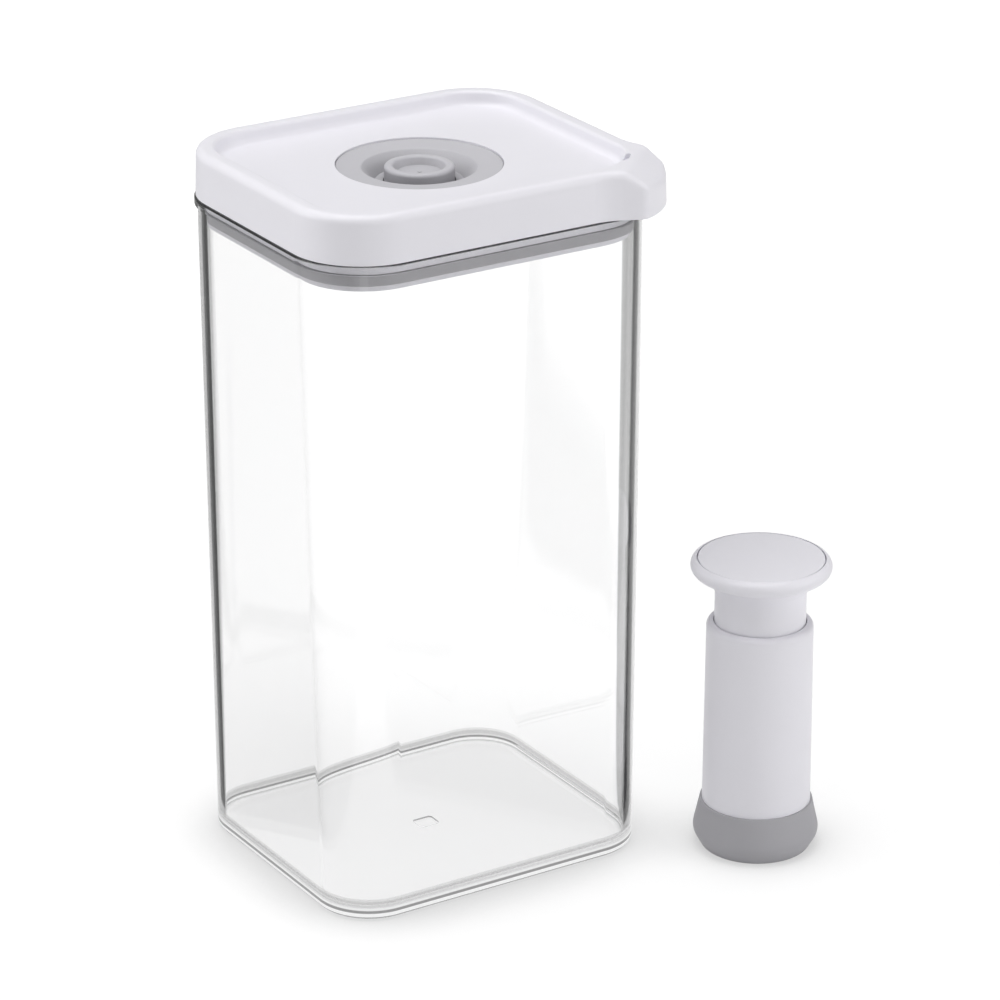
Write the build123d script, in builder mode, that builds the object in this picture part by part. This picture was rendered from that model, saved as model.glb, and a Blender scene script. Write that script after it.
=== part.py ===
"""Vacuum seal canister: a clear tapered container, a sealing lid with a release valve, and a hand pump.

Lengths are in millimetres. The origin is the middle of the container's flat underside. +X runs along
the wide front face, +Y to the back and +Z up. The pump stands on the same surface as the container,
in front of its right-hand end.
"""

import os
from math import asin, atan2, cos, degrees, radians, sin, sqrt, tan

from build123d import *

os.makedirs("parts", exist_ok=True)

# Clearances
seat_clearance = 0.05
running_clearance = 0.1
slip_clearance = 0.3
overrun = 1.0

# Container
base_width = 112.0
base_depth = 96.8
base_corner = 17.8
mouth_width = 117.5
mouth_depth = 100.4
mouth_corner = 23.2
rim_height = 213.8
neck_height = 15.0
wall = 2.5
floor_thickness = 3.2
base_edge_radius = 2.5
inner_floor_radius = 3.0
rim_edge_radius = 0.6
collar_proud = 1.0
collar_height = 2.4
collar_step_height = 0.6
gate_radius = 4.1
gate_depth = 0.6

# Lid cover
lid_width = 118.5
lid_depth = 101.2
lid_corner = 23.4
lid_gap = 0.3
skirt_height = 14.9
skirt_draft = 0.4
lid_edge_radius = 2.6
lid_rim_width = 6.2
pan_depth = 4.5
pan_draft_angle = 10.0
pan_edge_radius = 1.3
pan_floor_radius = 2.2
cover_wall = 2.2
deck_thickness = 2.4
valve_boss_width = 2.0
valve_boss_drop = 1.6
post_spacing_x = 40.0
post_spacing_y = 66.0
post_radius = 2.4
post_engagement = 5.6
boss_wall = 2.0
boss_shoulder = 1.2

# Lifting tab on the lid's front right corner
flare_lead = 5.2
flare_radius = 20.0
flare_angle = 25.0
tab_corner_radius = 3.2
tab_reach = 30.0
slope_start = 18.7
slope_radius = 6.0
slope_angle = 36.0
slot_length = 5.0
slot_width = 1.7
slot_depth = 1.6
slot_inset = 5.2

# Lid plug and gasket
plug_clearance = 1.3
plug_wall = 3.4
plug_plate_thickness = 2.0
plate_below_rim = 0.4
plug_drop = 8.2
groove_depth = 1.6
groove_height = 5.3
groove_rise = 1.6
lip_height = 3.6
lip_edge_radius = 0.5
rib_thickness = 1.6
rib_height = 5.0
rib_angles = (0.0, 65.0, 115.0)
chamber_wall = 1.6

# Valve ring and its well
ring_radius = 25.6
ring_thickness = 1.8
ring_sink = 0.4
ring_dip = 0.7
well_radius = 17.7
well_floor_radius = 13.5
well_depth = 4.3
well_floor_thickness = 1.4
well_barrel_wall = 1.6
ring_edge_radius = 0.5
well_edge_radius = 0.9

# Release button, stem and poppet
button_radius = 10.8
button_height = 6.0
button_top_thickness = 3.8
button_skirt = 1.6
button_edge_radius = 1.2
dish_radius = 8.2
dish_floor_radius = 7.0
dish_depth = 2.5
dish_gate_radius = 0.6
dish_gate_height = 0.15
button_travel = 2.0
stem_radius = 2.9
stem_head_radius = 4.8
stem_head_thickness = 1.2
flute_width = 1.4
flute_depth = 1.0
flute_count = 4
guide_wall = 2.0
guide_height = 3.4
spigot_radius = 1.7
spigot_tip = 0.7
poppet_radius = 6.2
poppet_thickness = 1.4
poppet_seal_radius = 5.6
poppet_seal_thickness = 1.0
clip_radius = 3.6
clip_thickness = 1.0
clip_mouth = 2.4

# Spring under the button
spring_wire = 0.7
spring_radius = 6.1
spring_half_turns = 5

# Check valve that lets the pump draw air out
flap_radius = 11.4
flap_thickness = 1.0
retainer_radius = 7.0
retainer_thickness = 1.0
port_radius = 1.3
port_circle = 8.8
port_count = 6

# Guard under the poppet
guard_radius = 16.4
guard_wall = 1.4
guard_floor = 1.2
guard_collar_wall = 1.6
guard_collar_height = 3.0
guard_edge = 1.0
guard_slot_width = 2.4
guard_slot_length = 7.0
guard_slot_circle = 9.0
guard_slot_count = 8

# Pump: place, suction cup and barrel
pump_x = 85.7
pump_y = -62.7
cup_foot_radius = 17.3
cup_widest_radius = 20.2
cup_widest_height = 5.1
cup_top_radius = 17.9
cup_height = 15.6
cup_mouth_radius = 14.2
cup_mouth_depth = 6.4
cup_roof_thickness = 2.2
cup_lip_radius = 0.8
cup_bulge_radius = 5.0
barrel_base_radius = 17.25
barrel_top_radius = 16.85
barrel_top = 77.0
barrel_shoulder_radius = 2.0
barrel_bore = 15.0
spigot_wall_radius = 16.4
sleeve_bore = 15.6
barrel_floor = 2.4
nozzle_radius = 5.0
nozzle_wall = 1.6
nozzle_tip = 1.0

# Pump: inlet valve and guide sleeve
inlet_plate_thickness = 2.6
inlet_port_radius = 1.5
inlet_port_circle = 6.2
inlet_port_count = 6
inlet_recess_radius = 8.4
inlet_recess_depth = 1.0
inlet_flap_radius = 9.2
inlet_flap_thickness = 0.9
flap_stem_radius = 1.5
flap_bead_radius = 2.1
flap_bead_height = 1.2
guide_sleeve_height = 6.0
guide_sleeve_sink = 2.6
guide_sleeve_slit = 1.6

# Pump: plunger, piston and knob
neck_radius = 14.4
neck_wall = 2.0
knob_foot = 88.7
knob_socket = 2.5
piston_height = 7.0
piston_radius = 14.6
piston_gap = 0.4
piston_spigot_height = 5.0
piston_spigot_wall = 1.6
seal_height = 2.4
seal_groove_depth = 2.0
seal_groove_base = 2.2
exhaust_flap_radius = 8.0
exhaust_flap_thickness = 0.9
exhaust_port_radius = 1.4
exhaust_port_circle = 5.2
exhaust_port_count = 4
exhaust_web = 1.6
seal_edge_radius = 0.7
vent_radius = 1.6
vent_rise = 9.0
neck_roof = 2.4
knob_collar_radius = 15.3
knob_rake = 20.0
knob_collar_fillet = 1.0
knob_radius = 22.2
knob_rim_height = 95.6
knob_round = 2.6
knob_edge_height = 98.1
knob_cap_radius = 19.9
knob_cap_thickness = 1.8
knob_cap_crown = 0.8
knob_cap_groove = 0.35
knob_web = 2.0
knob_ledge = 2.2
screw_head_radius = 4.2
screw_head_height = 2.0
screw_shank_radius = 2.0
screw_length = 9.0
screw_boss_radius = 4.6
screw_boss_height = 7.0
screw_slot_length = 4.4
screw_slot_width = 0.9
screw_slot_depth = 1.1

# Heights worked out from the sizes above
neck_z = rim_height - neck_height
collar_z = rim_height - collar_height
lid_bottom = rim_height + lid_gap
lid_top = lid_bottom + skirt_height
pan_z = lid_top - pan_depth
deck_bottom = pan_z - deck_thickness
ring_top = pan_z - ring_sink
ring_seat = ring_top - ring_thickness
boss_bottom = ring_seat - valve_boss_drop
well_edge = ring_top - ring_dip
well_floor = well_edge - well_depth
plate_top = rim_height - plate_below_rim
plate_bottom = plate_top - plug_plate_thickness
plug_bottom = plate_top - plug_drop
button_roof = ring_top - button_top_thickness
button_foot = ring_top - button_height
guide_bore = stem_radius + running_clearance
guide_radius = guide_bore + guide_wall
flap_top = plate_top + flap_thickness
retainer_top = flap_top + retainer_thickness
barrel_outer = well_radius + well_barrel_wall
chamber_radius = barrel_outer + slip_clearance
poppet_top = plate_bottom - running_clearance - poppet_seal_thickness
poppet_bottom = poppet_top - poppet_thickness
post_bore = post_radius + seat_clearance
boss_foot = plate_top + boss_shoulder
groove_bottom = plug_bottom + groove_rise
lip_reach = plug_clearance - slip_clearance
spigot_bottom = poppet_bottom - clip_thickness - spigot_tip
guard_bottom = spigot_bottom - button_travel - slip_clearance - guard_floor

# Heights of the pump's pieces
cup_roof_top = cup_mouth_depth + cup_roof_thickness
barrel_foot = cup_roof_top + seat_clearance
inlet_bottom = barrel_foot + barrel_floor
inlet_top = inlet_bottom + inlet_plate_thickness
piston_foot = inlet_top + inlet_flap_thickness + piston_gap
piston_top = piston_foot + piston_height
sleeve_top = barrel_top - guide_sleeve_sink
sleeve_bottom = sleeve_top - guide_sleeve_height
barrel_lip = neck_radius + slip_clearance
neck_bore = neck_radius - neck_wall
neck_top = knob_foot + knob_socket
web_top = neck_top + knob_web
knob_seat = knob_edge_height - knob_cap_thickness
pump_foot = Vector(pump_x, pump_y)
pump_axis = Axis(pump_foot, Axis.Z.direction)


def rounded(size, inset=0, mode=Mode.ADD):
    """Draw a rounded rectangle, given as width, depth and corner radius, an inset inside its outline."""
    width, depth, corner = size
    return RectangleRounded(width - 2 * inset, depth - 2 * inset, corner - inset, mode=mode)


def wall_at(height):
    """Give the container's outer width, depth and corner radius at a height up to the upright neck."""
    share = height / neck_z
    width = base_width + (mouth_width - base_width) * share
    depth = base_depth + (mouth_depth - base_depth) * share
    corner = base_corner + (mouth_corner - base_corner) * share
    return width, depth, corner


def level(height):
    """Give the horizontal plane at a height."""
    return Plane.XY.offset(height)


def pump_level(height):
    """Give the horizontal plane at a height, centred on the pump."""
    return Plane(pump_foot + Vector(0, 0, height))


def pump_section():
    """Give the upright plane through the pump's axis, with the radius along X."""
    return Plane(pump_foot, x_dir=Axis.X.direction, z_dir=-Axis.Y.direction)


def save(piece, name):
    """Label a finished piece and write it under its name."""
    piece.part.label = name
    export_step(piece.part, f"parts/{name}.step")


# Container: tapered walls below an upright neck, a slanted step out to the collar and a rounded mouth
mouth_size = (mouth_width, mouth_depth, mouth_corner)
with BuildPart() as container:
    with BuildSketch(level(0)):
        rounded(wall_at(0))
    with BuildSketch(level(neck_z)):
        rounded(mouth_size)
    loft()
    with BuildSketch(level(neck_z)):
        rounded(mouth_size)
    extrude(amount=neck_height)
    fillet(container.edges().group_by(Axis.Z)[0], base_edge_radius)
    with BuildSketch(level(collar_z - collar_step_height)):
        rounded(mouth_size)
    with BuildSketch(level(collar_z)):
        rounded(mouth_size, -collar_proud)
    loft()
    with BuildSketch(level(collar_z)):
        rounded(mouth_size, -collar_proud)
    extrude(amount=collar_height)
    with BuildSketch(level(floor_thickness)):
        rounded(wall_at(floor_thickness), wall)
    with BuildSketch(level(neck_z)):
        rounded(mouth_size, wall)
    loft(mode=Mode.SUBTRACT)
    with BuildSketch(level(neck_z)):
        rounded(mouth_size, wall)
    extrude(amount=neck_height, mode=Mode.SUBTRACT)
    inner_floor = container.faces().filter_by(Axis.Z).sort_by(Axis.Z)[1]
    fillet(inner_floor.edges(), inner_floor_radius)
    fillet(container.faces().sort_by(Axis.Z)[-1].edges(), rim_edge_radius)
    with BuildSketch(level(floor_thickness)):
        Circle(gate_radius)
    extrude(amount=-gate_depth, mode=Mode.SUBTRACT)
save(container, "container")

# Lid cover: a drafted skirt with a flared tab, a raised rim round a sunken pan, and a hollow underside
lid_size = (lid_width, lid_depth, lid_corner)
corner_x = lid_width / 2 - lid_corner
corner_y = lid_depth / 2 - lid_corner
tab_diagonal = Plane((corner_x, -corner_y), z_dir=(1, 1, 0))
across_tab = Axis((corner_x, -corner_y), (1, 1, 0))

# The tab's outline, seen from the lid's corner centre: its side runs straight between two arcs
flare_turn = radians(flare_angle)
side_heading = Vector(cos(flare_turn), -sin(flare_turn))
side_outward = Vector(-sin(flare_turn), -cos(flare_turn))
flare_centre = Vector(-flare_lead, -lid_corner - flare_radius)
side_start = flare_centre - (flare_radius + tab_corner_radius) * side_outward
side_offset = side_start.dot(side_heading)
side_length = sqrt(side_offset**2 - side_start.length**2 + (tab_reach - tab_corner_radius) ** 2) - side_offset
tab_corner = side_start + side_length * side_heading
tab_corner_end = degrees(atan2(tab_corner.Y, tab_corner.X))


def lid_outline(inset=0):
    """Draw the lid's outline with its tab, whose arcs run tangent from the front face to the right one."""
    rounded(lid_size, inset)
    with BuildLine() as tab:
        centre = (corner_x, -corner_y)
        start = (corner_x - flare_lead, -corner_y - lid_corner + inset)
        flare = JernArc(start, Axis.X.direction, flare_radius + inset, -flare_angle)
        side = Line(flare @ 1, flare @ 1 + side_length * (flare % 1))
        corner = JernArc(side @ 1, side % 1, tab_corner_radius - inset, tab_corner_end + 90 + flare_angle)
        JernArc(corner @ 1, corner % 1, tab_reach - inset, -45 - tab_corner_end)
        Line(centre, start)
        mirror(about=tab_diagonal)
    make_face(tab.edges())


def cut_tab_slope(height):
    """Cut the tab's top off along a slope that bends down from a height."""
    with BuildSketch(Plane((corner_x, -corner_y, height), x_dir=(1, -1, 0), z_dir=(-1, -1, 0))) as slope:
        with BuildLine():
            bend = JernArc((slope_start, 0), Axis.X.direction, slope_radius, -slope_angle)
            fall = Line(bend @ 1, bend @ 1 + lid_corner * (bend % 1))
            Polyline(fall @ 1, ((fall @ 1).X, overrun), (slope_start, overrun), bend @ 0)
        make_face()
    extrude(slope.sketch, amount=lid_corner, both=True, mode=Mode.SUBTRACT)


with BuildPart() as lid_hollow:
    with BuildSketch(level(lid_bottom)):
        lid_outline(cover_wall)
    extrude(amount=skirt_height - cover_wall)
    cut_tab_slope(lid_top - cover_wall)

with BuildPart() as lid_cover:
    with BuildSketch(level(lid_bottom)):
        lid_outline()
    extrude(amount=skirt_height, taper=degrees(atan2(skirt_draft, skirt_height)))
    cut_tab_slope(lid_top)
    tops = lid_cover.faces().sort_by(Axis.Z)[-3:]
    fillet(tops.edges().filter_by(across_tab, reverse=True), lid_edge_radius)
    add(lid_hollow, mode=Mode.SUBTRACT)
    with BuildSketch(level(deck_bottom)):
        rounded(lid_size, lid_rim_width - cover_wall)
    extrude(until=Until.NEXT)
    with BuildSketch(level(lid_top)):
        rounded(lid_size, lid_rim_width)
    extrude(amount=-pan_depth, taper=pan_draft_angle, mode=Mode.SUBTRACT)
    pan = lid_cover.faces(Select.LAST).filter_by(Axis.Z).sort_by(Axis.Z)[0]
    fillet(pan.edges(), pan_floor_radius)
    rim = lid_cover.faces().sort_by(Axis.Z)[-1]
    fillet(rim.inner_wires()[0].edges(), pan_edge_radius)
    with BuildSketch(level(boss_bottom)):
        Circle(ring_radius + seat_clearance + valve_boss_width)
    extrude(until=Until.NEXT)
    with BuildSketch(level(boss_foot)):
        with GridLocations(post_spacing_x, post_spacing_y, 3, 2):
            Circle(post_bore + boss_wall)
    extrude(until=Until.NEXT)
    with BuildSketch(level(boss_foot)):
        with GridLocations(post_spacing_x, post_spacing_y, 3, 2):
            Circle(post_bore)
    extrude(amount=post_engagement + slip_clearance, mode=Mode.SUBTRACT)
    with BuildSketch(level(ring_seat)):
        Circle(ring_radius + seat_clearance)
    extrude(amount=ring_thickness + ring_sink, mode=Mode.SUBTRACT)
    with BuildSketch(level(boss_bottom)):
        Circle(barrel_outer + seat_clearance)
    extrude(amount=ring_seat - boss_bottom, mode=Mode.SUBTRACT)
    slot_radius = lid_corner - slot_inset
    slot_angle = degrees(slot_length / slot_radius)
    with BuildSketch(level(lid_top)):
        SlotArc(CenterArc((corner_x, -corner_y), slot_radius, -45 - slot_angle / 2, slot_angle), slot_width)
    extrude(amount=-slot_depth, mode=Mode.SUBTRACT)
save(lid_cover, "lid_cover")

# Lid plug: a ribbed plate with a gasket groove round its wall, the valve's chamber, guide and ports
plug_inset = wall + plug_clearance
plug_size = (mouth_width - 2 * plug_inset, mouth_depth - 2 * plug_inset, mouth_corner - plug_inset)
with BuildPart() as lid_plug:
    with BuildSketch(level(plug_bottom)):
        rounded(plug_size)
    extrude(amount=plug_drop)
    with BuildSketch(level(plug_bottom)):
        rounded(plug_size, plug_wall)
    extrude(amount=plug_drop - plug_plate_thickness, mode=Mode.SUBTRACT)
    with BuildSketch(level(groove_bottom)):
        rounded(plug_size, -overrun)
        rounded(plug_size, groove_depth, mode=Mode.SUBTRACT)
    extrude(amount=groove_height, mode=Mode.SUBTRACT)
    with BuildSketch(level(plate_top)):
        for rib_angle in rib_angles:
            Rectangle(2 * lid_width, rib_thickness, rotation=rib_angle)
        rounded(plug_size, plug_wall, mode=Mode.INTERSECT)
        Circle(chamber_radius, mode=Mode.SUBTRACT)
    extrude(amount=rib_height)
    with BuildSketch(level(plate_top)):
        Circle(chamber_radius + chamber_wall)
        Circle(chamber_radius, mode=Mode.SUBTRACT)
    extrude(amount=boss_bottom - seat_clearance - plate_top)
    with BuildSketch(level(plate_top)):
        Circle(guide_radius)
    extrude(amount=guide_height)
    with BuildSketch(level(plate_bottom)):
        Circle(guide_bore)
        with PolarLocations(port_circle, port_count):
            Circle(port_radius)
    extrude(amount=plug_plate_thickness + guide_height, mode=Mode.SUBTRACT)
    with BuildSketch(level(plate_bottom)):
        Circle(guard_radius + seat_clearance + guard_collar_wall)
        Circle(guard_radius + seat_clearance, mode=Mode.SUBTRACT)
    extrude(amount=-guard_collar_height)
    with BuildSketch(level(plate_top)):
        with GridLocations(post_spacing_x, post_spacing_y, 3, 2):
            Circle(post_bore + boss_wall)
    extrude(amount=boss_shoulder)
    with BuildSketch(level(boss_foot)):
        with GridLocations(post_spacing_x, post_spacing_y, 3, 2):
            Circle(post_radius)
    extrude(amount=post_engagement)
save(lid_plug, "lid_plug")

# Lid gasket: a band in the plug's groove with a broad lip that reaches out to the container's wall
with BuildPart() as lid_gasket:
    gasket_bottom = groove_bottom + seat_clearance
    with BuildSketch(level(gasket_bottom)):
        rounded(plug_size, -lip_reach)
    extrude(amount=lip_height)
    fillet(lid_gasket.edges().filter_by(Axis.Z, reverse=True), lip_edge_radius)
    with BuildSketch(level(gasket_bottom)):
        rounded(plug_size)
    extrude(amount=groove_height - 2 * seat_clearance)
    with BuildSketch(level(gasket_bottom)):
        rounded(plug_size, groove_depth - seat_clearance)
    extrude(amount=groove_height, mode=Mode.SUBTRACT)
save(lid_gasket, "lid_gasket")

# Valve ring: a soft flange that dips towards a cone-shaped well, whose floor the button comes up through
with BuildPart() as valve_ring:
    with BuildSketch(Plane.XZ) as ring_section:
        with BuildLine():
            Polyline(
                (ring_radius, ring_seat),
                (ring_radius, ring_top),
                (well_radius, well_edge),
                (well_floor_radius, well_floor),
                (button_radius + slip_clearance, well_floor),
                (button_radius + slip_clearance, well_floor - well_floor_thickness),
                (well_floor_radius + well_barrel_wall, well_floor - well_floor_thickness),
                (barrel_outer, boss_bottom),
                (barrel_outer, ring_seat),
                close=True,
            )
        make_face()
        fillet(ring_section.vertices().group_by(Axis.Y)[-1], ring_edge_radius)
        fillet(ring_section.vertices().sort_by_distance((well_radius, well_edge))[0], well_edge_radius)
    revolve(axis=Axis.Z)
save(valve_ring, "valve_ring")

# Check flap: a soft disc over the plug's ports, held at its middle by a ring
with BuildPart() as check_flap:
    with BuildSketch(level(plate_top)):
        Circle(flap_radius)
        Circle(guide_radius + seat_clearance, mode=Mode.SUBTRACT)
    extrude(amount=flap_thickness)
save(check_flap, "check_flap")

with BuildPart() as flap_retainer:
    with BuildSketch(level(flap_top)):
        Circle(retainer_radius)
        Circle(guide_radius + seat_clearance, mode=Mode.SUBTRACT)
    extrude(amount=retainer_thickness)
save(flap_retainer, "flap_retainer")

# Valve guard: a slotted cap that keeps food off the poppet
with BuildPart() as valve_guard:
    with BuildSketch(level(guard_bottom)):
        Circle(guard_radius)
    extrude(amount=plate_bottom - guard_bottom)
    chamfer(valve_guard.edges().sort_by(Axis.Z)[0], guard_edge)
    with BuildSketch(level(guard_bottom + guard_floor)):
        Circle(guard_radius - guard_wall)
    extrude(amount=plate_bottom - guard_bottom - guard_floor, mode=Mode.SUBTRACT)
    with BuildSketch(level(guard_bottom)):
        with PolarLocations(guard_slot_circle, guard_slot_count):
            SlotOverall(guard_slot_length, guard_slot_width)
    extrude(amount=guard_floor, mode=Mode.SUBTRACT)
save(valve_guard, "valve_guard")

# Release button: a cap with a flat-floored dish in its top and a skirt round the spring
with BuildPart() as valve_button:
    with BuildSketch(Plane.XZ) as button_section:
        with BuildLine():
            Polyline(
                (0, ring_top - dish_depth),
                (dish_floor_radius, ring_top - dish_depth),
                (dish_radius, ring_top),
                (button_radius, ring_top),
                (button_radius, button_foot),
                (button_radius - button_skirt, button_foot),
                (button_radius - button_skirt, button_roof),
                (0, button_roof),
                close=True,
            )
        make_face()
        fillet(button_section.vertices().group_by(Axis.Y)[-1], button_edge_radius)
    revolve(axis=Axis.Z)
    with BuildSketch(level(ring_top - dish_depth)):
        Circle(dish_gate_radius)
    extrude(amount=dish_gate_height)
save(valve_button, "valve_button")

# Stem: a head under the button, a fluted shaft through the guide and a spigot for the poppet
with BuildPart() as valve_stem:
    with BuildSketch(level(poppet_top)):
        Circle(stem_radius)
        with PolarLocations(stem_radius, flute_count):
            Rectangle(2 * flute_depth, flute_width, mode=Mode.SUBTRACT)
    extrude(amount=button_roof - poppet_top)
    with BuildSketch(level(button_roof)):
        Circle(stem_head_radius)
    extrude(amount=-stem_head_thickness)
    with BuildSketch(level(poppet_top)):
        Circle(spigot_radius)
    extrude(amount=spigot_bottom - poppet_top)
save(valve_stem, "valve_stem")

with BuildPart() as release_poppet:
    with BuildSketch(level(poppet_bottom)):
        Circle(poppet_radius)
        Circle(spigot_radius + seat_clearance, mode=Mode.SUBTRACT)
    extrude(amount=poppet_thickness)
save(release_poppet, "release_poppet")

with BuildPart() as poppet_seal:
    with BuildSketch(level(poppet_top)):
        Circle(poppet_seal_radius)
        Circle(guide_bore, mode=Mode.SUBTRACT)
    extrude(amount=poppet_seal_thickness)
save(poppet_seal, "poppet_seal")

with BuildPart() as stem_clip:
    with BuildSketch(level(poppet_bottom)):
        Circle(clip_radius)
        Circle(spigot_radius + seat_clearance, mode=Mode.SUBTRACT)
        Rectangle(clip_radius, clip_mouth, align=(Align.MIN, Align.CENTER), mode=Mode.SUBTRACT)
    extrude(amount=-clip_thickness)
save(stem_clip, "stem_clip")

# Spring: half turns that join end to end along Y, between the flap's ring and the button
spring_bottom = retainer_top + spring_wire / 2 + seat_clearance
spring_top = button_roof - spring_wire / 2 - seat_clearance
half_rise = (spring_top - spring_bottom) / spring_half_turns
half_bulge = sqrt(spring_radius**2 + (half_rise / 2) ** 2)
with BuildPart() as valve_spring:
    with BuildLine() as spring_line:
        for turn in range(spring_half_turns):
            side = (-1) ** turn
            start_z = spring_bottom + turn * half_rise
            ThreePointArc(
                (side * spring_radius, 0, start_z),
                (0, side * half_bulge, start_z + half_rise / 2),
                (-side * spring_radius, 0, start_z + half_rise),
            )
    spring_path = spring_line.wire()
    with BuildSketch(Plane(spring_path @ 0, z_dir=Axis.Y.direction)):
        Circle(spring_wire / 2)
    sweep(path=spring_path)
save(valve_spring, "valve_spring")

# Suction cup: a soft bell whose mouth seals in the lid's well
with BuildPart() as suction_cup:
    with BuildSketch(pump_section()) as cup_section:
        with BuildLine():
            Polyline(
                (cup_mouth_radius, 0),
                (cup_foot_radius, 0),
                (cup_widest_radius, cup_widest_height),
                (cup_top_radius, cup_height),
                (spigot_wall_radius, cup_height),
                (spigot_wall_radius, cup_roof_top),
                (nozzle_radius + seat_clearance, cup_roof_top),
                (nozzle_radius + seat_clearance, cup_mouth_depth),
                (cup_mouth_radius, cup_mouth_depth),
                close=True,
            )
        make_face()
        fillet(cup_section.vertices().sort_by(Axis.X)[-1], cup_bulge_radius)
        fillet(cup_section.vertices().group_by(Axis.Y)[0], cup_lip_radius)
    revolve(axis=pump_axis)
save(suction_cup, "suction_cup")

# Barrel: a tapered tube with a spigot and nozzle in the cup and a groove below its lip for the sleeve
with BuildPart() as pump_barrel:
    with BuildSketch(pump_section()) as barrel_section:
        with BuildLine():
            Polyline(
                (barrel_base_radius, cup_height + seat_clearance),
                (barrel_top_radius, barrel_top),
                (barrel_lip, barrel_top),
                (barrel_lip, sleeve_top + seat_clearance),
                (sleeve_bore, sleeve_top + seat_clearance),
                (sleeve_bore, sleeve_bottom),
                (barrel_bore, sleeve_bottom),
                (barrel_bore, inlet_bottom),
                (nozzle_radius - nozzle_wall, inlet_bottom),
                (nozzle_radius - nozzle_wall, cup_mouth_depth - nozzle_tip),
                (nozzle_radius, cup_mouth_depth - nozzle_tip),
                (nozzle_radius, barrel_foot),
                (spigot_wall_radius - seat_clearance, barrel_foot),
                (spigot_wall_radius - seat_clearance, cup_height + seat_clearance),
                close=True,
            )
        make_face()
        fillet(barrel_section.vertices().group_by(Axis.Y)[-1].sort_by(Axis.X)[-1], barrel_shoulder_radius)
    revolve(axis=pump_axis)
save(pump_barrel, "pump_barrel")


def add_flap(radius, thickness, seat, web):
    """Add a mushroom flap that lies on a seat and is held by a bead below the web."""
    for height, size, amount in (
        (seat, radius, thickness),
        (seat, flap_stem_radius, -web),
        (seat - web, flap_bead_radius, -flap_bead_height),
    ):
        with BuildSketch(pump_level(height)) as disc:
            Circle(size)
        extrude(disc.sketch, amount=amount)


# Inlet plate and flap: let air in from the nozzle on the upstroke
inlet_web = inlet_plate_thickness - inlet_recess_depth
with BuildPart() as inlet_plate:
    with BuildSketch(pump_level(inlet_bottom)):
        Circle(barrel_bore - seat_clearance)
        Circle(inlet_recess_radius, mode=Mode.SUBTRACT)
    extrude(amount=inlet_recess_depth)
    with BuildSketch(pump_level(inlet_top)):
        Circle(barrel_bore - seat_clearance)
        Circle(flap_stem_radius + seat_clearance, mode=Mode.SUBTRACT)
        with PolarLocations(inlet_port_circle, inlet_port_count):
            Circle(inlet_port_radius, mode=Mode.SUBTRACT)
    extrude(amount=-inlet_web)
save(inlet_plate, "inlet_plate")

with BuildPart() as inlet_flap:
    add_flap(inlet_flap_radius, inlet_flap_thickness, inlet_top, inlet_web)
save(inlet_flap, "inlet_flap")

# Guide sleeve: a ring slit on one side, so that it springs into the barrel's groove
with BuildPart() as guide_sleeve:
    with BuildSketch(pump_level(sleeve_bottom)):
        Circle(sleeve_bore - seat_clearance)
        Circle(neck_radius + running_clearance, mode=Mode.SUBTRACT)
        Rectangle(sleeve_bore, guide_sleeve_slit, align=(Align.MIN, Align.CENTER), mode=Mode.SUBTRACT)
    extrude(amount=guide_sleeve_height)
save(guide_sleeve, "guide_sleeve")

# Piston: a grooved head with exhaust ports and a spigot in the plunger's tube
with BuildPart() as piston_head:
    with BuildSketch(pump_level(piston_foot)):
        Circle(piston_radius)
        with PolarLocations(exhaust_port_circle, exhaust_port_count):
            Circle(exhaust_port_radius, mode=Mode.SUBTRACT)
        Circle(flap_stem_radius + seat_clearance, mode=Mode.SUBTRACT)
    extrude(amount=piston_height)
    with BuildSketch(pump_level(piston_foot)):
        Circle(flap_bead_radius + slip_clearance)
    extrude(amount=piston_height - exhaust_web, mode=Mode.SUBTRACT)
    with BuildSketch(pump_level(piston_foot + seal_groove_base)):
        Circle(piston_radius)
        Circle(piston_radius - seal_groove_depth, mode=Mode.SUBTRACT)
    extrude(amount=seal_height, mode=Mode.SUBTRACT)
    with BuildSketch(pump_level(piston_top)):
        Circle(neck_bore - seat_clearance)
        Circle(neck_bore - seat_clearance - piston_spigot_wall, mode=Mode.SUBTRACT)
    extrude(amount=piston_spigot_height)
save(piston_head, "piston_head")

with BuildPart() as piston_seal:
    with BuildSketch(pump_level(piston_foot + seal_groove_base + seat_clearance)):
        Circle(barrel_bore - running_clearance)
        Circle(piston_radius - seal_groove_depth + seat_clearance, mode=Mode.SUBTRACT)
    extrude(amount=seal_height - 2 * seat_clearance)
    rims = piston_seal.edges().filter_by(GeomType.CIRCLE).group_by(SortBy.RADIUS)[-1]
    fillet(rims, seal_edge_radius)
save(piston_seal, "piston_seal")

with BuildPart() as exhaust_flap:
    add_flap(exhaust_flap_radius, exhaust_flap_thickness, piston_top, exhaust_web)
save(exhaust_flap, "exhaust_flap")

# Plunger tube: vented above the piston, closed at the top round a boss for the knob's screw
with BuildPart() as plunger_tube:
    with BuildSketch(pump_level(piston_top)):
        Circle(neck_radius)
        Circle(neck_bore, mode=Mode.SUBTRACT)
    extrude(amount=neck_top - piston_top)
    with BuildSketch(pump_level(neck_top)):
        Circle(neck_bore)
    extrude(amount=-neck_roof)
    with BuildSketch(pump_level(neck_top)):
        Circle(screw_boss_radius)
    extrude(amount=-neck_roof - screw_boss_height)
    with BuildSketch(pump_level(neck_top)):
        Circle(screw_shank_radius + seat_clearance)
    extrude(amount=-neck_roof - screw_boss_height, mode=Mode.SUBTRACT)
    with BuildSketch(Plane(pump_foot + Vector(0, 0, piston_top + vent_rise), z_dir=Axis.X.direction)):
        Circle(vent_radius)
    extrude(amount=neck_radius + overrun, both=True, mode=Mode.SUBTRACT)
save(plunger_tube, "plunger_tube")

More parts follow.
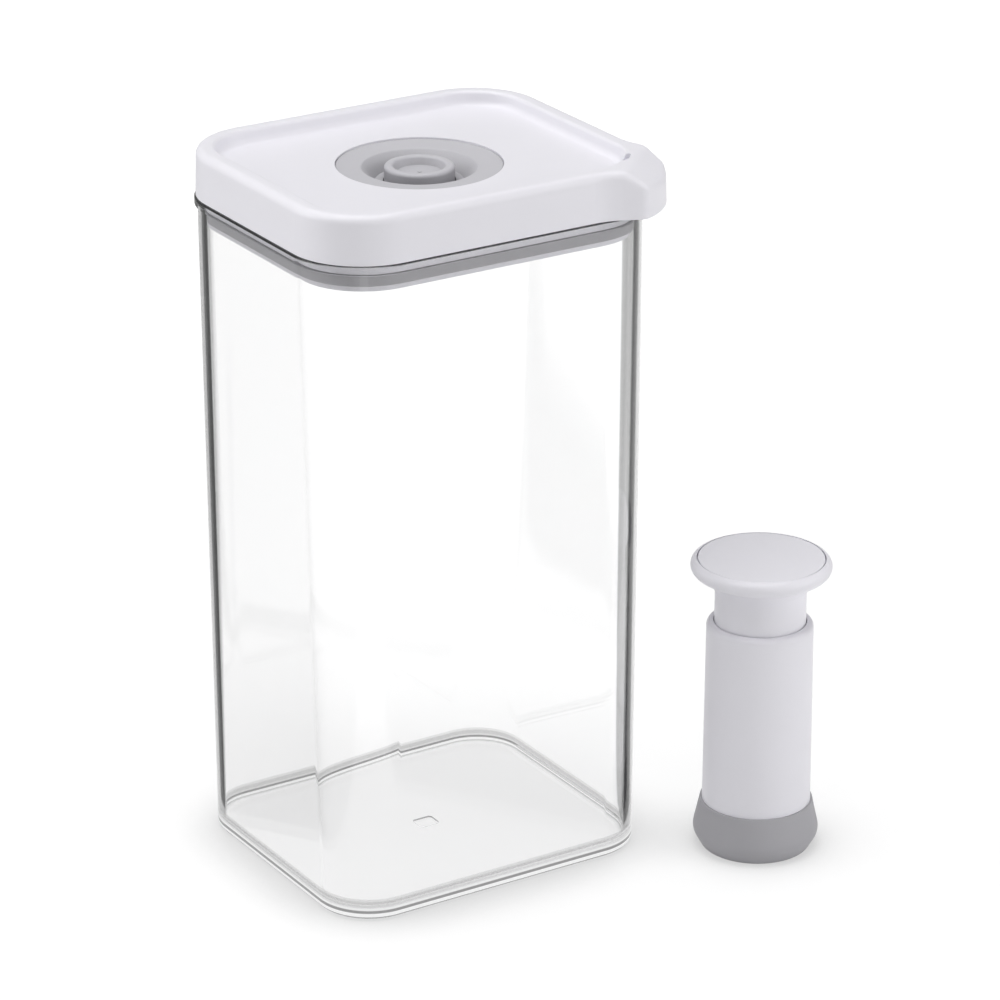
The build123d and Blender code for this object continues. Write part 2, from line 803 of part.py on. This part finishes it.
# Knob: a mushroom with a collar over the tube and a ledge for its cap
rake = radians(knob_rake)
round_x = knob_radius - knob_round + knob_round * sin(rake)
round_z = knob_rim_height - knob_round * cos(rake)
collar_top = round_z - (round_x - knob_collar_radius) * tan(rake)
cap_pocket = knob_cap_radius + knob_cap_groove
with BuildPart() as knob:
    with BuildSketch(pump_section()) as knob_section:
        with BuildLine():
            low = JernArc((round_x, round_z), (cos(rake), sin(rake)), knob_round, 90 - knob_rake)
            high = TangentArc(low @ 1, (cap_pocket, knob_edge_height), tangent=low % 1)
            Polyline(
                high @ 1,
                (cap_pocket, knob_seat),
                (knob_cap_radius - knob_ledge, knob_seat),
                (knob_cap_radius - knob_ledge, web_top),
                (screw_shank_radius + seat_clearance, web_top),
                (screw_shank_radius + seat_clearance, neck_top),
                (neck_radius + seat_clearance, neck_top),
                (neck_radius + seat_clearance, knob_foot),
                (knob_collar_radius, knob_foot),
                (knob_collar_radius, collar_top),
                low @ 0,
            )
        make_face()
        collar_corner = knob_section.vertices().sort_by_distance((knob_collar_radius, collar_top))[0]
        fillet(collar_corner, knob_collar_fillet)
    revolve(axis=pump_axis)
save(knob, "knob")

# Knob cap: a disc with a crowned top, set in the knob
with BuildPart() as knob_cap:
    crown_sphere = (knob_cap_radius**2 + knob_cap_crown**2) / (2 * knob_cap_crown)
    crown_turn = degrees(asin(knob_cap_radius / crown_sphere))
    with BuildSketch(pump_section()) as cap_section:
        with BuildLine():
            crown_top = (0, knob_edge_height + knob_cap_crown)
            crown = JernArc(crown_top, Axis.X.direction, crown_sphere, -crown_turn)
            Polyline(crown @ 1, (knob_cap_radius, knob_seat), (0, knob_seat), crown @ 0)
        make_face()
        fillet(cap_section.vertices().sort_by(Axis.X).group_by(Axis.Y)[-2], knob_cap_groove)
    revolve(axis=pump_axis)
save(knob_cap, "knob_cap")

with BuildPart() as knob_screw:
    with BuildSketch(pump_level(web_top)):
        Circle(screw_head_radius)
    extrude(amount=screw_head_height)
    with BuildSketch(pump_level(web_top)):
        Circle(screw_shank_radius)
    extrude(amount=-screw_length)
    with BuildSketch(pump_level(web_top + screw_head_height)):
        Rectangle(screw_slot_length, screw_slot_width)
        Rectangle(screw_slot_width, screw_slot_length)
    extrude(amount=-screw_slot_depth, mode=Mode.SUBTRACT)
save(knob_screw, "knob_screw")
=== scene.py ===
"""Looks of the vacuum seal canister: camera, materials, own pieces, studio floor, world and lamps.

Lengths are in metres, apart from the own pieces, whose values are in millimetres.
"""

from math import atan2, cos, degrees, hypot, radians, sin

import bpy
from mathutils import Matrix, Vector


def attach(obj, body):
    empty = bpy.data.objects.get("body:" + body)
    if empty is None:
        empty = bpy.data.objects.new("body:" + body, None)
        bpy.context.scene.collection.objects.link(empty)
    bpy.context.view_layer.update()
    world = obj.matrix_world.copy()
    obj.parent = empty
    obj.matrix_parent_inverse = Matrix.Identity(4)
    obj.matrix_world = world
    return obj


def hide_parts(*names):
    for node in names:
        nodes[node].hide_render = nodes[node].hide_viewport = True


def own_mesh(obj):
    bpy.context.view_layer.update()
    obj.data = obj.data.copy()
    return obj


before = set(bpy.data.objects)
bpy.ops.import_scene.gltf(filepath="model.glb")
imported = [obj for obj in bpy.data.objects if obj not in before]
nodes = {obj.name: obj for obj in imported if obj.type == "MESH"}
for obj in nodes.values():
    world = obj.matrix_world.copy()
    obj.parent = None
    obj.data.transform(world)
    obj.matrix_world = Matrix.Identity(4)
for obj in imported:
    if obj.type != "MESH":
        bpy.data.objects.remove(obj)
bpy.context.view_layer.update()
scene = bpy.context.scene


def show(name, data):
    """Put a mesh, light or camera in the scene as an object."""
    made = bpy.data.objects.new(name, data)
    scene.collection.objects.link(made)
    return made


def looking(direction):
    """The turn of a camera or lamp that faces along a direction."""
    return direction.to_track_quat("-Z", "Y").to_euler()


# ---- camera -------------------------------------------------------------------------------
CAMERA_PLACE = Vector((-0.66157, -1.10130, 0.63958))
CAMERA_FORWARD = Vector((0.49160, 0.78425, -0.37852))
SENSOR = 36.0
LENS = 160.2
NEAREST_SEEN = 0.01
FURTHEST_SEEN = 50.0

camera_data = bpy.data.cameras.new("camera")
camera_data.sensor_width = SENSOR
camera_data.lens = LENS
camera_data.clip_start = NEAREST_SEEN
camera_data.clip_end = FURTHEST_SEEN
camera = show("camera", camera_data)
camera.location = CAMERA_PLACE
camera.rotation_euler = looking(CAMERA_FORWARD)
scene.camera = camera


# ---- node trees ---------------------------------------------------------------------------
MIX_SOCKETS = {"FLOAT": (2, 3, 0), "RGBA": (6, 7, 2)}  # of a Mix node: the two inputs and the result
AO_SAMPLES = 8


def socket_name(word):
    return word.replace("_", " ").title().replace("Ior", "IOR")


def plain(value):
    """A neutral grey, as a colour socket takes it."""
    return (value, value, value, 1.0)


class Nodes:
    """A node tree under construction: short calls that make nodes and join them."""

    def __init__(self, tree):
        self.tree = tree
        self.path = None

    def node(self, kind, **settings):
        """A new node. Each setting goes to the node's own field or, without one, to its socket."""
        made = self.tree.nodes.new(kind)
        for name, value in settings.items():
            if hasattr(made, name):
                setattr(made, name, value)
            else:
                made.inputs[socket_name(name)].default_value = value
        return made

    def link(self, source, target):
        """Join a socket to another one, or set a number or colour on it."""
        if hasattr(source, "links"):
            self.tree.links.new(source, target)
        else:
            target.default_value = source

    def ramp(self, source, span, levels, interpolation_type="LINEAR"):
        """Map a span of the source onto two levels, which hold beyond its ends."""
        made = self.node("ShaderNodeMapRange", interpolation_type=interpolation_type)
        for name, value in zip(("From Min", "From Max", "To Min", "To Max"), (*span, *levels)):
            made.inputs[name].default_value = value
        self.link(source, made.inputs["Value"])
        return made.outputs["Result"]

    def fade(self, source, span, levels):
        """A ramp with soft ends."""
        return self.ramp(source, span, levels, "SMOOTHSTEP")

    def math(self, operation, first, second=0.0):
        made = self.node("ShaderNodeMath", operation=operation)
        self.link(first, made.inputs[0])
        self.link(second, made.inputs[1])
        return made.outputs[0]

    def along(self, vector, axis):
        """How far a vector reaches along an axis."""
        made = self.node("ShaderNodeVectorMath", operation="DOT_PRODUCT")
        self.link(vector, made.inputs[0])
        self.link(axis, made.inputs[1])
        return made.outputs["Value"]

    def upward(self, vector):
        """The vertical part of a vector."""
        made = self.node("ShaderNodeSeparateXYZ")
        self.link(vector, made.inputs[0])
        return made.outputs["Z"]

    def open_sky(self, reach):
        """How open a point's surroundings are within a reach, from 0 to 1."""
        return self.node("ShaderNodeAmbientOcclusion", samples=AO_SAMPLES, distance=reach).outputs["AO"]

    def mix(self, share, first, second, data_type="RGBA", blend_type="MIX"):
        """From the first colour or number to the second, by a share from 0 to 1."""
        made = self.node("ShaderNodeMix", data_type=data_type, blend_type=blend_type)
        low, high, result = MIX_SOCKETS[data_type]
        for source, place in ((share, 0), (first, low), (second, high)):
            self.link(source, made.inputs[place])
        return made.outputs[result]

    def ray(self, question):
        """An answer of Light Path about the ray that reaches the surface."""
        if self.path is None:
            self.path = self.node("ShaderNodeLightPath")
        return self.path.outputs[question]

    def by_ray(self, otherwise, **values):
        """The value named for the ray's kind: glossy, transmission or camera."""
        chosen = otherwise
        for kind, value in values.items():
            chosen = self.mix(self.ray(f"Is {kind.title()} Ray"), chosen, value, data_type="FLOAT")
        return chosen


class Shader(Nodes):
    """A node material under construction."""

    def __init__(self, name):
        self.material = bpy.data.materials.new(name)
        self.material.use_nodes = True
        super().__init__(self.material.node_tree)
        self.bsdf = self.tree.nodes["Principled BSDF"]
        self.out = self.tree.nodes["Material Output"]

    def put(self, **values):
        """Set sockets of the surface shader, or join them."""
        for name, value in values.items():
            self.link(value, self.bsdf.inputs[socket_name(name)])

    def over(self, share, other):
        """Show another shader in place of the surface shader, by a share from 0 to 1."""
        made = self.node("ShaderNodeMixShader")
        for source, place in ((share, 0), (self.bsdf.outputs["BSDF"], 1), (other, 2)):
            self.link(source, made.inputs[place])
        self.link(made.outputs["Shader"], self.out.inputs["Surface"])

    def noise(self, scale, detail=3.0, roughness=0.5):
        place = self.node("ShaderNodeTexCoord")
        made = self.node("ShaderNodeTexNoise", scale=scale, detail=detail, roughness=roughness)
        self.link(place.outputs["Object"], made.inputs["Vector"])
        return made.outputs["Fac"]

    def bump(self, *layers):
        """Stack bumps: each layer is a height, its distance and its strength."""
        normal = None
        for height, distance, strength in layers:
            made = self.node("ShaderNodeBump", strength=strength, distance=distance)
            self.link(height, made.inputs["Height"])
            if normal is not None:
                self.link(normal, made.inputs["Normal"])
            normal = made.outputs["Normal"]
        self.put(normal=normal)


# ---- materials ----------------------------------------------------------------------------
FULL = (0.0, 1.0)
NOISE_SPAN = (0.3, 0.7)  # where most of a noise's values lie

# Moulded parts. A noise's scale is per metre
DRIFT_SCALE, DRIFT_DETAIL, DRIFT_ROUGHNESS = 14.0, 4.0, 0.6
GLOSS_SCALE = 90.0
GRAIN_DETAIL, GRAIN_STRENGTH = 2.0, 0.35
WAVE_SCALE, WAVE_DETAIL, WAVE_STRENGTH = 26.0, 1.0, 0.25
PAINTED_SHADE_SKY = (0.30, 0.95)  # how open a hollow is where its painted shade is deepest, and where the painted shade ends
PAINTED_SHADE_LEVEL = 0.62
TINT_GREEN, TINT_BLUE = 0.988, 1.045

# Clear plastic
CLEAR_IOR = 1.5
# Painted shade at the edges: the colour darkens where the surface faces away, in place of the dark surroundings
# seen there
EDGE_FACING = (0.60, 0.95)
EDGE_PAINTED_SHADE = (0.92, 0.92, 0.925, 1.0)
FOOT_TOP = 0.008
FOOT_PAINTED_DARKEST = 0.20
FOOT_PAINTED_LINES = (  # share of the foot's height, and how much light passes there: painted shade lines in place of the dark reflections the foot shows
    (0.15, 0.20), (0.19, 1.0), (0.31, 1.0), (0.35, 0.10), (0.44, 0.10), (0.48, 0.90), (0.54, 0.90),
    (0.575, 0.62), (0.825, 0.62), (0.88, 1.0))
LEVEL_FACES = (0.5, 0.9)  # how level a face is, from where the stripes fade to where they are gone
HAZE_SCALE, HAZE_DETAIL, HAZE = 30.0, 2.0, 0.012
LAMP_SHARE = 0.93
DEPTH_DENSITY = 6.0
DEPTH_COLOUR = (0.0, 0.0, 0.04, 1.0)

# Spring steel
STEEL_DARK = (0.52, 0.52, 0.53, 1.0)
STEEL_PALE = (0.66, 0.66, 0.67, 1.0)
STEEL_DRIFT_SCALE, STEEL_GLOSS_SCALE = 60.0, 300.0
STEEL_ROUGHNESS = (0.22, 0.38)
STEEL_GRAIN_SCALE, STEEL_GRAIN_DETAIL = 900.0, 2.0
STEEL_GRAIN_DEPTH, STEEL_GRAIN_STRENGTH = 0.00004, 0.3


def moulded(name, value, spread, roughness, vary, grain, grain_depth, wave_depth, painted_shade_reach=None):
    """A moulded plastic or rubber: slight colour drift, fine grain and a faint moulding wave.

    Its grey leans slightly to blue. Where a reach for painted shade is given, hollows of about that size get
    painted shade: their colour darkens where ambient occlusion finds them enclosed.
    """
    made = Shader(name)
    colour = (value, value * TINT_GREEN, value * TINT_BLUE)
    dark, pale = ((*(min(1.0, part * (1.0 + by)) for part in colour), 1.0) for by in (-spread, spread))
    drift = made.ramp(made.noise(DRIFT_SCALE, DRIFT_DETAIL, DRIFT_ROUGHNESS), NOISE_SPAN, FULL)
    shade = made.mix(drift, dark, pale)
    # Painted shade in hollows: ambient occlusion darkens the colour where shade would fall
    if painted_shade_reach:
        painted_shade_factor = made.mix(made.ramp(made.open_sky(painted_shade_reach), PAINTED_SHADE_SKY, FULL), plain(PAINTED_SHADE_LEVEL), plain(1.0))
        shade = made.mix(1.0, shade, painted_shade_factor, blend_type="MULTIPLY")
    gloss = made.ramp(made.noise(GLOSS_SCALE), NOISE_SPAN, (roughness - vary, roughness + vary))
    made.put(base_color=shade, roughness=gloss)
    made.bump((made.noise(grain, GRAIN_DETAIL), grain_depth, GRAIN_STRENGTH),
              (made.noise(WAVE_SCALE, WAVE_DETAIL), wave_depth, WAVE_STRENGTH))
    return made.material


def clear_plastic():
    """Clear plastic that bends light. Painted shade darkens its edges and its foot, and the lamps shine through
    it.

    Painted stripes of shade darken the foot by height, on upright faces only, so that the inner floor stays
    clear.
    """
    made = Shader("clear_plastic")
    # Painted shade: darker colour towards grazing edges
    facing = made.node("ShaderNodeLayerWeight", blend=0.5).outputs["Facing"]
    clear = made.mix(made.ramp(facing, EDGE_FACING, FULL), plain(1.0), EDGE_PAINTED_SHADE)

    # Painted shade at the foot: lines darker and lighter by height, in place of the dark reflections seen there
    height = made.upward(made.node("ShaderNodeTexCoord").outputs["Object"])
    stripes = made.node("ShaderNodeValToRGB")
    stops = stripes.color_ramp.elements
    stops[0].color = plain(FOOT_PAINTED_DARKEST)
    for share, value in FOOT_PAINTED_LINES:
        stops.new(share).color = plain(value)
    made.link(made.ramp(height, (0.0, FOOT_TOP), FULL), stripes.inputs["Fac"])
    level = made.math("ABSOLUTE", made.upward(made.node("ShaderNodeNewGeometry").outputs["Normal"]))
    striped = made.ramp(level, LEVEL_FACES, (1.0, 0.0))
    painted_shade_colour = made.mix(striped, clear, stripes.outputs["Color"], blend_type="MULTIPLY")

    haze = made.ramp(made.noise(HAZE_SCALE, HAZE_DETAIL), NOISE_SPAN, (0.0, HAZE))
    made.put(base_color=painted_shade_colour, ior=CLEAR_IOR, transmission_weight=1.0, roughness=haze)
    from_lamp = made.math("MAXIMUM", made.ray("Is Shadow Ray"), made.ray("Is Diffuse Ray"))
    through = made.node("ShaderNodeBsdfTransparent")
    through.inputs["Color"].default_value = plain(LAMP_SHARE)
    made.over(from_lamp, through.outputs["BSDF"])
    depth = made.node("ShaderNodeVolumeAbsorption", density=DEPTH_DENSITY)
    depth.inputs["Color"].default_value = DEPTH_COLOUR
    made.link(depth.outputs["Volume"], made.out.inputs["Volume"])
    return made.material


def steel():
    """Spring steel with an uneven shine and a fine grain."""
    made = Shader("steel")
    drift = made.ramp(made.noise(STEEL_DRIFT_SCALE), NOISE_SPAN, FULL)
    gloss = made.ramp(made.noise(STEEL_GLOSS_SCALE), NOISE_SPAN, STEEL_ROUGHNESS)
    made.put(base_color=made.mix(drift, STEEL_DARK, STEEL_PALE), metallic=1.0, roughness=gloss)
    made.bump((made.noise(STEEL_GRAIN_SCALE, STEEL_GRAIN_DETAIL), STEEL_GRAIN_DEPTH, STEEL_GRAIN_STRENGTH))
    return made.material


LOOKS = {
    "white_plastic": moulded("white_plastic", 0.86, spread=0.010, roughness=0.37, vary=0.04,
                             grain=2600.0, grain_depth=0.00003, wave_depth=0.00006),
    # The grey silicone gets painted shade in hollows of about 10 mm, such as the valve's well
    "grey_silicone": moulded("grey_silicone", 0.54, spread=0.025, roughness=0.55, vary=0.05,
                             grain=1700.0, grain_depth=0.00004, wave_depth=0.00006, painted_shade_reach=0.010),
    "grey_rubber": moulded("grey_rubber", 0.41, spread=0.030, roughness=0.62, vary=0.06,
                           grain=1500.0, grain_depth=0.00006, wave_depth=0.00006),
    "clear_plastic": clear_plastic(),
    "steel": steel(),
}
# Painted shade: the gasket gets a darker copy of the grey silicone, for the shade it sits in under the lid
# behind the clear wall
GASKET_PAINTED_SHADE = moulded("gasket_silicone_shaded", 0.43, spread=0.025, roughness=0.45, vary=0.05,
                 grain=1700.0, grain_depth=0.00003, wave_depth=0.00005)
for name, node in nodes.items():
    for place in node.material_slots:
        place.material = GASKET_PAINTED_SHADE if name == "lid_gasket" else LOOKS[place.material.name.split(".")[0]]


# ---- own pieces, in millimetres until their mesh is made ------------------------------------
MM = 0.001
BASE = (112.0, 96.8, 17.8)  # width, depth and corner radius, as for the next two
MOUTH = (117.5, 100.4, 23.2)
PLUG = (109.9, 92.8, 19.4)
NECK_Z = 198.8
RIM_Z = 213.8
COLLAR_Z = 211.4
COLLAR_STEP = 0.6
COLLAR_PROUD = 1.0
RIM_ROUND = 0.6
NECK_BLEND = 3.0
WALL = 2.5
FLOOR_Z = 3.2
FOOT_ROUND = 2.5
INNER_ROUND = 3.0
GATE_RADIUS = 4.1
GATE_DEPTH = 0.6
FLANGE_LOW_Z = 210.55
FLANGE_TOP_Z = 213.3
FLANGE_PROUD = 0.3
FLANGE_SUNK = 0.6
CORNER_STEPS = 48
ROUND_STEPS = 8
OUT, UP, IN, DOWN = 0.0, 90.0, 180.0, -90.0  # a normal's lean, in degrees
TAPERED = 1.0


def wall_at(z):
    """Width, depth and corner radius of the container's outside at a height."""
    share = min(z / NECK_Z, 1.0)
    return tuple(low + (high - low) * share for low, high in zip(BASE, MOUTH))


def rounded(size, inset):
    """Points and outward headings round a rectangle with round corners, counterclockwise."""
    width, depth, corner = size
    ring = []
    for quarter, (side_x, side_y) in enumerate(((1, 1), (-1, 1), (-1, -1), (1, -1))):
        for step in range(CORNER_STEPS + 1):
            turn = radians(90.0 * (quarter + step / CORNER_STEPS))
            heading = (cos(turn), sin(turn))
            x = side_x * (width / 2.0 - corner) + (corner - inset) * heading[0]
            y = side_y * (depth / 2.0 - corner) + (corner - inset) * heading[1]
            ring.append(((x, y), heading))
    return ring


def circle(radius, like):
    """A circle whose points lie on the same rays from the centre as another ring's."""
    headings = [(x / hypot(x, y), y / hypot(x, y)) for (x, y), _ in like]
    return [((radius * x, radius * y), (x, y)) for x, y in headings]


def station(z, inset, lean, taper=0.0):
    """One ring of the container's section, its height, its normal's lean and its share of the wall's taper."""
    return rounded(wall_at(z), inset), z, radians(lean), taper


def arc(z, inset, radius, start, end, taper=0.0):
    """Stations round a quarter circle about a centre, hollow where the radius is negative."""
    stations = []
    for step in range(ROUND_STEPS + 1):
        lean = start + (end - start) * step / ROUND_STEPS
        out, up = radius * cos(radians(lean)), radius * sin(radians(lean))
        stations.append(station(z + up, inset - out, lean, taper))
    return stations


def widening(heading):
    """How far the tapered wall widens for each millimetre of height, towards a heading."""
    width, depth, corner = (high - low for low, high in zip(BASE, MOUTH))
    reach = abs(heading[0]) * (width / 2.0 - corner) + abs(heading[1]) * (depth / 2.0 - corner)
    return (reach + corner) / NECK_Z


def outward(heading, lean, taper):
    """The surface's normal: towards a heading, leaning up, and turned down where the wall tapers."""
    x, y = heading
    rise = sin(lean) - taper * widening(heading) * cos(lean)
    return Vector((x * cos(lean), y * cos(lean), rise)).normalized()


def banded(name, bands, look, body, loop=False):
    """A closed mesh of rings. The surface is smooth within a band and creased between two bands."""
    verts, faces, normals = [], [], []
    count = len(bands[0][0][0])
    for number, stations in enumerate(bands):
        before = None
        for ring, z, lean, taper in stations:
            if before is not None or not number:
                verts.extend((x * MM, y * MM, z * MM) for (x, y), _ in ring)
            turned = [outward(heading, lean, taper) for _, heading in ring]
            if before is not None:
                high = len(verts) - count
                low = high - count
                for here in range(count):
                    there = (here + 1) % count
                    faces.append((low + here, low + there, high + there, high + here))
                    normals.extend((before[here], before[there], turned[there], turned[here]))
            before = turned
    last = len(verts) - count
    if loop:
        faces = [tuple(corner - last if corner >= last else corner for corner in face) for face in faces]
        del verts[last:]
    else:
        faces += [tuple(reversed(range(count))), tuple(range(last, last + count))]
        normals += [Vector((0.0, 0.0, -1.0))] * count + [Vector((0.0, 0.0, 1.0))] * count
    mesh = bpy.data.meshes.new(name)
    mesh.from_pydata(verts, [], faces, shade_flat=False)
    mesh.normals_split_custom_set(normals)
    mesh.materials.append(LOOKS[look])
    made = show(name, mesh)
    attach(made, body)
    return made


# The clear container has finer facets and truer normals than the solid, because light bends at each of them
step_low = COLLAR_Z - COLLAR_STEP
step_lean = degrees(atan2(-COLLAR_PROUD, COLLAR_STEP))
outside = arc(FOOT_ROUND, FOOT_ROUND, FOOT_ROUND, DOWN, OUT, TAPERED)
outside += [station(NECK_Z - NECK_BLEND, 0.0, OUT, TAPERED), station(NECK_Z, 0.0, OUT, TAPERED / 2.0)]
outside += [station(NECK_Z + NECK_BLEND, 0.0, OUT), station(step_low, 0.0, OUT)]
collar_step = [station(step_low, 0.0, step_lean), station(COLLAR_Z, -COLLAR_PROUD, step_lean)]
inside = [station(COLLAR_Z, -COLLAR_PROUD, OUT)]
inside += arc(RIM_Z - RIM_ROUND, RIM_ROUND - COLLAR_PROUD, RIM_ROUND, OUT, UP)
inside += arc(RIM_Z - RIM_ROUND, WALL - RIM_ROUND, RIM_ROUND, UP, IN)
inside += [station(NECK_Z + NECK_BLEND, WALL, IN), station(NECK_Z, WALL, IN, TAPERED / 2.0)]
inside += [station(NECK_Z - NECK_BLEND, WALL, IN, TAPERED)]
inside += arc(FLOOR_Z + INNER_ROUND, WALL + INNER_ROUND, -INNER_ROUND, IN, UP, TAPERED)
gate = circle(GATE_RADIUS, inside[-1][0])
inner_floor = [inside[-1], (gate, FLOOR_Z, radians(UP), 0.0)]
gate_side = [(gate, FLOOR_Z, radians(IN), 0.0), (gate, FLOOR_Z - GATE_DEPTH, radians(IN), 0.0)]
clear_wall = banded("clear_container", (outside, collar_step, inside, inner_floor, gate_side),
                    "clear_plastic", "container")
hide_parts("container")

# The plug's flange, a white band above the gasket's lip
corners = ((FLANGE_LOW_Z, -FLANGE_PROUD), (FLANGE_TOP_Z, -FLANGE_PROUD), (FLANGE_TOP_Z, FLANGE_SUNK),
           (FLANGE_LOW_Z, FLANGE_SUNK), (FLANGE_LOW_Z, -FLANGE_PROUD))
flange = [[(rounded(PLUG, inset), z, radians(lean), 0.0) for z, inset in side]
          for *side, lean in zip(corners, corners[1:], (OUT, UP, IN, DOWN))]
banded("plug_flange", flange, "white_plastic", "lid", loop=True)

# The spring under the button (the real one gets shorter as the button goes down), here a copy of its mesh fixed
# to the lid
spring = show("return_spring", nodes["valve_spring"].data.copy())
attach(spring, "lid")
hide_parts("valve_spring")
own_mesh(spring)


# ---- studio -------------------------------------------------------------------------------
WORLD_FILL = 0.09
DARK_WALL = 0.40
CEILING_RISE = (0.25, 0.75)  # the vertical part of a direction, from the dark wall to the white ceiling

FLOOR_SIDE = 12.0
FLOOR_LIFT = 0.00005  # keeps the floor clear of the container's flat underside
FLOOR_COLOUR = 0.92
FLOOR_WHITE = 1.20
GLOW_REACH = (0.25, 0.75)
GLOW_SHARES = (0.58, 1.0)
# Painted contact shadow: camera rays see the floor darker where ambient occlusion finds the object close
PAINTED_CONTACT_REACH = 0.025
PAINTED_CONTACT_SKY = (0.35, 1.0)
PAINTED_CONTACT_LEVELS = (0.72, 1.0)

# As gloss shows the floor: a painted reflection, darker to one side and white to the other
GLOSSY_SPAN = (-0.25, 0.10)
GLOSSY_LEVELS = (0.45, 1.05)
GLOSSY_SHARE = 0.5

# As clear plastic shows the floor: a white strip leads away from the object, and its dark sides are painted
# shade that draws the dark lines along the box's edges. The spans are how far a point is outside the strip,
# over how far ahead it is
STRIP_ACROSS = (0.847, -0.531, 0.0)
STRIP_ALONG = (0.531, 0.847, 0.0)
STRIP_HALF = 0.066
LEAST_AHEAD = 0.02
STRIP_GREY = (0.13, 0.20)
STRIP_GREY_LEVELS = (1.06, 0.50)
STRIP_DARK = (0.46, 0.60)
STRIP_DARK_LEVELS = (1.0, 0.06)
STRIP_CLEAR = (1.10, 1.50)
BOTH_WALLS = 3.5  # a ray that has crossed both walls has been bent four times
SEEN_REACH = (0.05, 0.20)
SEEN_SHARES = (0.49, 0.78)

LAMP_AIM = Vector((0.02, -0.03, 0.11))
LAMPS = (  # name, place, side and power
    ("lamp_top", (-0.45, 0.20, 2.6), 3.0, 61.0),
    ("lamp_right", (0.95, -1.05, 0.62), 0.9, 7.1),
    ("lamp_left", (-1.15, 0.70, 0.62), 0.9, 6.2),
    ("lamp_front", (-0.45, -1.40, 0.70), 0.7, 2.4),
)

scene.world = bpy.data.worlds.new("studio")
scene.world.use_nodes = True
sky = Nodes(scene.world.node_tree)
background = sky.tree.nodes["Background"]
rise = sky.upward(sky.node("ShaderNodeTexCoord").outputs["Generated"])
ceiling = sky.fade(rise, CEILING_RISE, (DARK_WALL, 1.0))
strength = sky.by_ray(WORLD_FILL, glossy=ceiling, transmission=ceiling, camera=1.0)
sky.link(strength, background.inputs["Strength"])
sky.link(plain(1.0), background.inputs["Color"])


def floor_material():
    """A pale matt floor that glows to white away from the object and keeps the object's shadow, with a painted
    contact shadow close to the object; to gloss and clear plastic it shows painted shade.
    """
    made = Shader("floor")
    where = made.node("ShaderNodeNewGeometry").outputs["Position"]
    # Painted shade for clear plastic: the floor turns grey and then dark to the sides of a white strip
    aside = made.along(where, STRIP_ACROSS)
    beyond = made.math("SUBTRACT", made.math("ABSOLUTE", aside), STRIP_HALF)
    ahead = made.math("MAXIMUM", made.along(where, STRIP_ALONG), LEAST_AHEAD)
    sideways = made.math("DIVIDE", beyond, ahead)
    strip = made.math("MULTIPLY", made.fade(sideways, STRIP_GREY, STRIP_GREY_LEVELS),
                      made.fade(sideways, STRIP_DARK, STRIP_DARK_LEVELS))
    # Seen straight through both walls, the floor is white again well to the side and at the front
    straight = made.math("GREATER_THAN", made.ray("Transmission Depth"), BOTH_WALLS)
    strip = made.math("MAXIMUM", strip, made.math("MULTIPLY", straight, made.fade(sideways, STRIP_CLEAR, FULL)))

    # Painted contact shadow, from ambient occlusion, as the camera sees the floor
    painted_contact_shadow = made.fade(made.open_sky(PAINTED_CONTACT_REACH), PAINTED_CONTACT_SKY, PAINTED_CONTACT_LEVELS)
    # Painted reflection: gloss sees the floor darker to one side
    painted_reflection = made.fade(aside, GLOSSY_SPAN, GLOSSY_LEVELS)
    level = made.by_ray(1.0, glossy=painted_reflection, transmission=strip, camera=painted_contact_shadow)
    made.put(base_color=made.math("MULTIPLY", level, FLOOR_COLOUR), roughness=1.0, specular_ior_level=0.0)
    glow = made.node("ShaderNodeEmission")
    made.link(made.math("MULTIPLY", level, FLOOR_WHITE), glow.inputs["Strength"])

    away = made.node("ShaderNodeVectorMath", operation="LENGTH")
    made.link(where, away.inputs[0])
    glow_share = made.fade(away.outputs["Value"], GLOW_REACH, GLOW_SHARES)
    seen_share = made.fade(away.outputs["Value"], SEEN_REACH, SEEN_SHARES)
    made.over(made.by_ray(0.0, glossy=GLOSSY_SHARE, transmission=seen_share, camera=glow_share),
              glow.outputs["Emission"])
    return made.material


half = FLOOR_SIDE / 2.0
floor_corners = [(x * half, y * half, FLOOR_LIFT) for x, y in ((-1, -1), (1, -1), (1, 1), (-1, 1))]
floor_mesh = bpy.data.meshes.new("floor")
floor_mesh.from_pydata(floor_corners, [], [(0, 1, 2, 3)])
floor_mesh.materials.append(floor_material())
floor = show("floor", floor_mesh)

for name, place, side, power in LAMPS:
    light = bpy.data.lights.new(name, "AREA")
    light.shape = "RECTANGLE"
    light.size = light.size_y = side
    light.energy = power
    lamp = show(name, light)
    lamp.location = place
    lamp.rotation_euler = looking(LAMP_AIM - Vector(place))
    lamp.visible_transmission = False

scene.view_settings.view_transform = "Standard"
